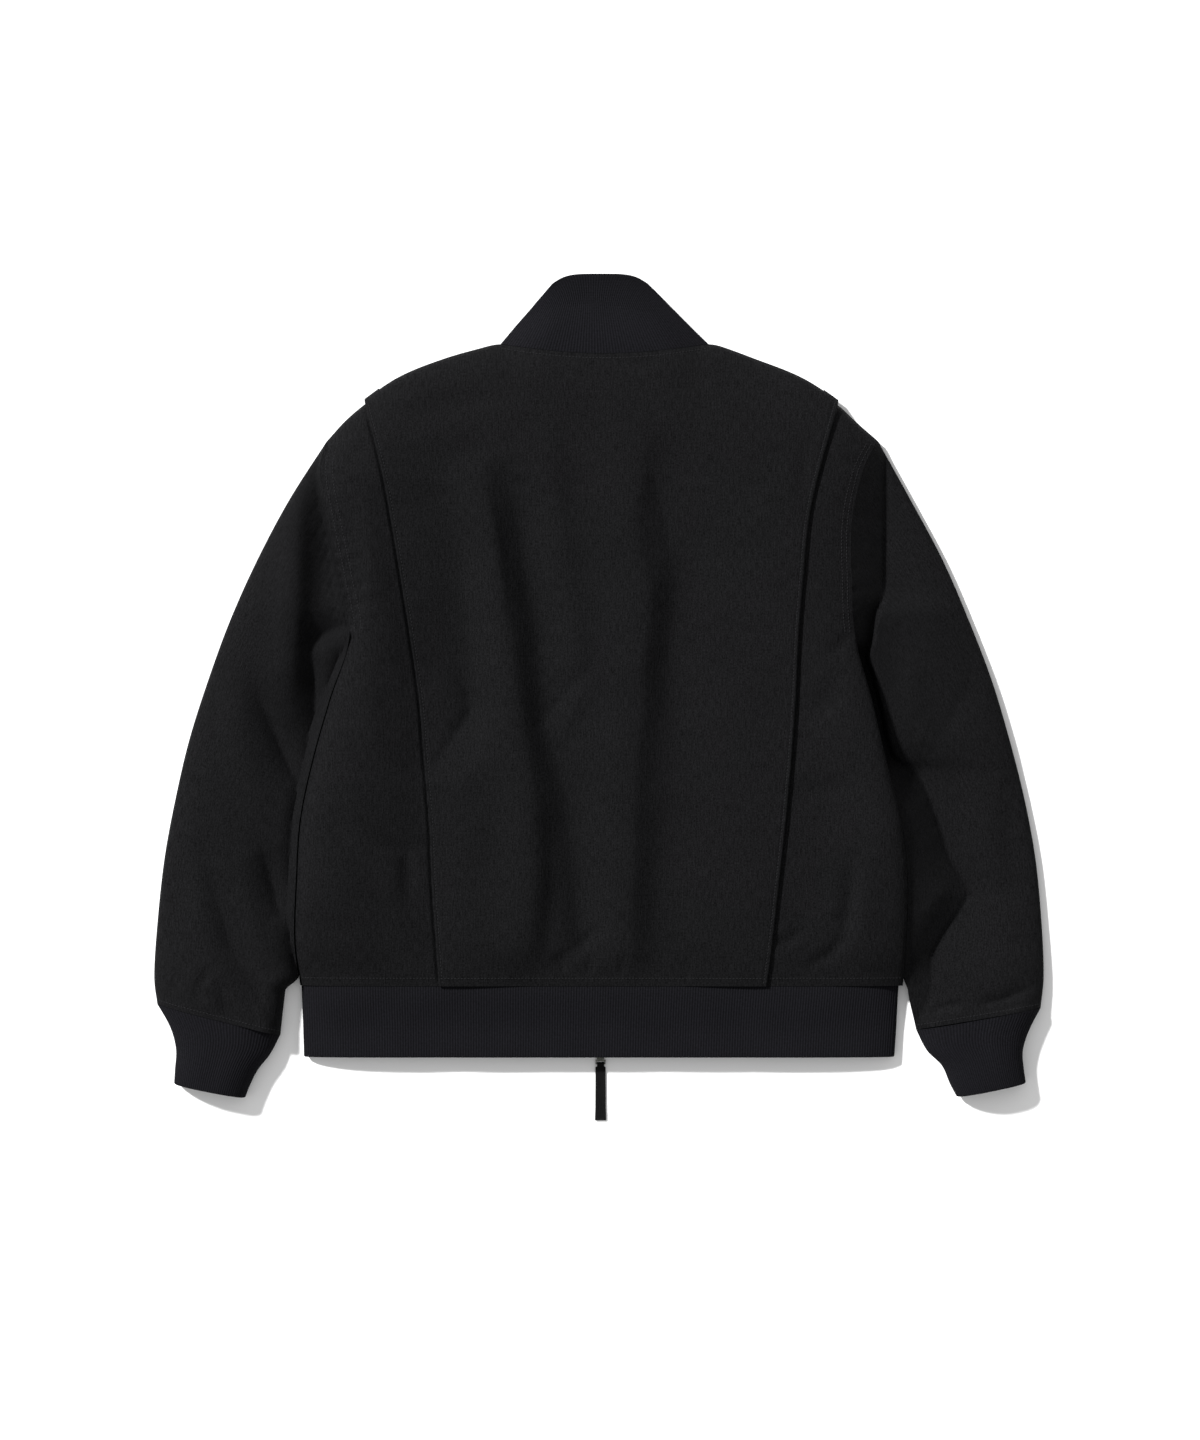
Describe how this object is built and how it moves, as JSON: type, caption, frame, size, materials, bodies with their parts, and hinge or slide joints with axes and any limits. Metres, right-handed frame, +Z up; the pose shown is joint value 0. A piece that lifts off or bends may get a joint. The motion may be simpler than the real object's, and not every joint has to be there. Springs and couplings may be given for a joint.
{
  "type": "tanker jacket",
  "caption": "Black cotton tanker jacket laid flat with its back showing: pleated back, rib knit collar, cuffs and waistband, front zip with a pull.",
  "frame": {"origin": "middle of the laid jacket's outline, on the surface that it lies on", "axes": "+X to the right of the back as it lies, +Y towards the collar, +Z up out of the back"},
  "size_m": [0.8254, 0.786, 0.048],
  "materials": {
    "shell_cloth": "matt black dense cotton with fine upright cords",
    "rib_knit": "matt blue-black rib knit",
    "zip_tape": "woven black tape",
    "zip_metal": "satin grey metal",
    "pull_tab": "doubled black strip, stitched"
  },
  "bodies": {
    "jacket": {"back_centre": "shell_cloth", "back_side_left": "shell_cloth", "front_left": "shell_cloth", "sleeve_left": "shell_cloth", "cuff_left": "rib_knit", "zip_left": "zip_tape", "back_side_right": "shell_cloth", "front_right": "shell_cloth", "sleeve_right": "shell_cloth", "cuff_right": "rib_knit", "zip_right": "zip_tape", "hem_band": "rib_knit", "collar": "rib_knit", "slider": "zip_metal"},
    "pull": {"pull_link": "zip_metal", "pull_tab": "pull_tab"}
  },
  "joints": [
    {"name": "pull_hinge", "type": "hinge", "parent": "jacket", "child": "pull", "pos_m": [0.0015, -0.3348, 0.0015], "axis": [1, 0, 0], "range_deg": [-60, 180]}
  ]
}
